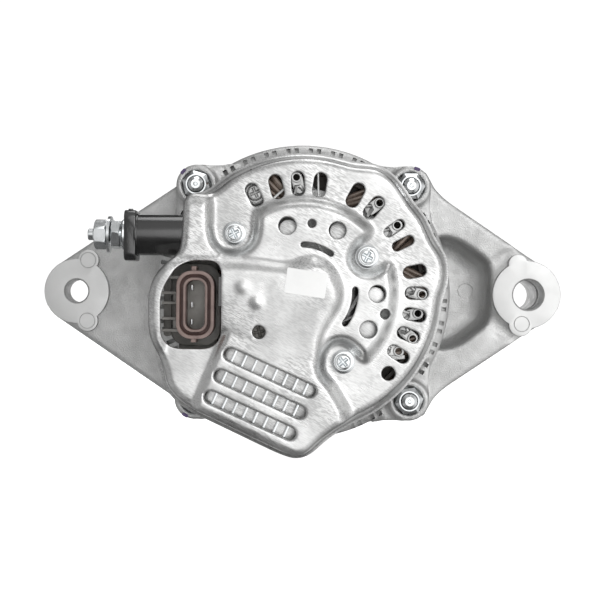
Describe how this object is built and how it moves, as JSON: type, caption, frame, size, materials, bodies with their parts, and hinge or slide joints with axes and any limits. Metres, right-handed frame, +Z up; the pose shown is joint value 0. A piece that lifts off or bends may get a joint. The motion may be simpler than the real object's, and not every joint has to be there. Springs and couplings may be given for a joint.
{
  "type": "car alternator",
  "caption": "Compact two-ear alternator with cast housings, pressed rear cover, side charging stud, oval socket, claw-pole rotor and V-belt pulley.",
  "frame": {"origin": "on the shaft's axis, in the plane of the two ears' rear faces", "axes": "+Z up, +Y along the shaft towards the pulley, +X towards the wide ear"},
  "size_m": [0.212, 0.1386, 0.1239],
  "materials": {
    "cast_aluminium": "as-cast, fine grain",
    "cover_sheet": "bright galvanised pressing",
    "zinc_plate": "zinc plated",
    "steel": "ground",
    "pulley_steel": "turned and plated",
    "core_steel": "oxidised laminations",
    "copper": "enamelled wire",
    "carbon": "graphite",
    "black_plastic": "satin moulded",
    "brown_plastic": "satin moulded",
    "label_paper": "blank white"
  },
  "bodies": {
    "housing": {"drive_end_frame": "cast_aluminium", "rear_frame": "cast_aluminium", "regulator_heat_sink": "cast_aluminium", "rectifier_plate_negative": "cast_aluminium", "rectifier_plate_positive": "cast_aluminium", "rear_cover": "cover_sheet", "through_bolt_1": "zinc_plate", "through_bolt_2": "zinc_plate", "through_bolt_3": "zinc_plate", "through_bolt_4": "zinc_plate", "flange_nut_1": "zinc_plate", "flange_nut_2": "zinc_plate", "flange_nut_3": "zinc_plate", "flange_nut_4": "zinc_plate", "cover_screw_1": "zinc_plate", "cover_screw_2": "zinc_plate", "cover_screw_3": "zinc_plate", "retainer_screw_1": "zinc_plate", "retainer_screw_2": "zinc_plate", "retainer_screw_3": "zinc_plate", "retainer_screw_4": "zinc_plate", "charging_stud": "zinc_plate", "charging_inner_nut": "zinc_plate", "charging_spring_washer": "zinc_plate", "charging_outer_nut": "zinc_plate", "socket_pin_1": "zinc_plate", "socket_pin_2": "zinc_plate", "socket_pin_3": "zinc_plate", "front_bearing_outer_race": "steel", "rear_bearing_outer_race": "steel", "bearing_retainer": "steel", "ear_bush": "steel", "brush_spring_inner": "steel", "brush_spring_outer": "steel", "stator_core": "core_steel", "stator_winding": "copper", "charging_insulator": "black_plastic", "brush_holder": "black_plastic", "terminal_block": "black_plastic", "regulator": "brown_plastic", "rating_label": "label_paper"},
    "rotor": {"rotor_shaft": "steel", "claw_pole_front": "core_steel", "claw_pole_rear": "core_steel", "field_coil": "copper", "front_fan": "steel", "rear_fan": "steel", "slip_ring_hub": "black_plastic", "slip_ring_inner": "copper", "slip_ring_outer": "copper", "front_bearing_inner_race": "steel", "rear_bearing_inner_race": "steel", "shaft_spacer": "steel", "pulley": "pulley_steel", "pulley_washer": "zinc_plate", "pulley_nut": "zinc_plate"},
    "front_ball_set": {"front_bearing_balls": "steel"},
    "rear_ball_set": {"rear_bearing_balls": "steel"},
    "inner_brush": {"brush_inner": "carbon"},
    "outer_brush": {"brush_outer": "carbon"}
  },
  "joints": [
    {"name": "rotor_spin", "type": "hinge", "parent": "housing", "child": "rotor", "pos_m": [0, 0, 0], "axis": [0, 1, 0], "continuous": true},
    {"name": "front_balls_spin", "type": "hinge", "parent": "housing", "child": "front_ball_set", "pos_m": [0, 0.0419, 0], "axis": [0, 1, 0], "continuous": true},
    {"name": "rear_balls_spin", "type": "hinge", "parent": "housing", "child": "rear_ball_set", "pos_m": [0, -0.0278, 0], "axis": [0, 1, 0], "continuous": true},
    {"name": "inner_brush_slide", "type": "slide", "parent": "housing", "child": "inner_brush", "axis": [-1, 0, 0], "range_m": [0, 0.004], "stiffness_N_per_m": 300, "springref_m": -0.008, "deforming": ["brush_spring_inner"]},
    {"name": "outer_brush_slide", "type": "slide", "parent": "housing", "child": "outer_brush", "axis": [-1, 0, 0], "range_m": [0, 0.004], "stiffness_N_per_m": 300, "springref_m": -0.008, "deforming": ["brush_spring_outer"]}
  ],
  "couplings": [
    {"joint": "front_balls_spin", "follows": "rotor_spin", "ratio": 0.373},
    {"joint": "rear_balls_spin", "follows": "rotor_spin", "ratio": 0.392}
  ]
}
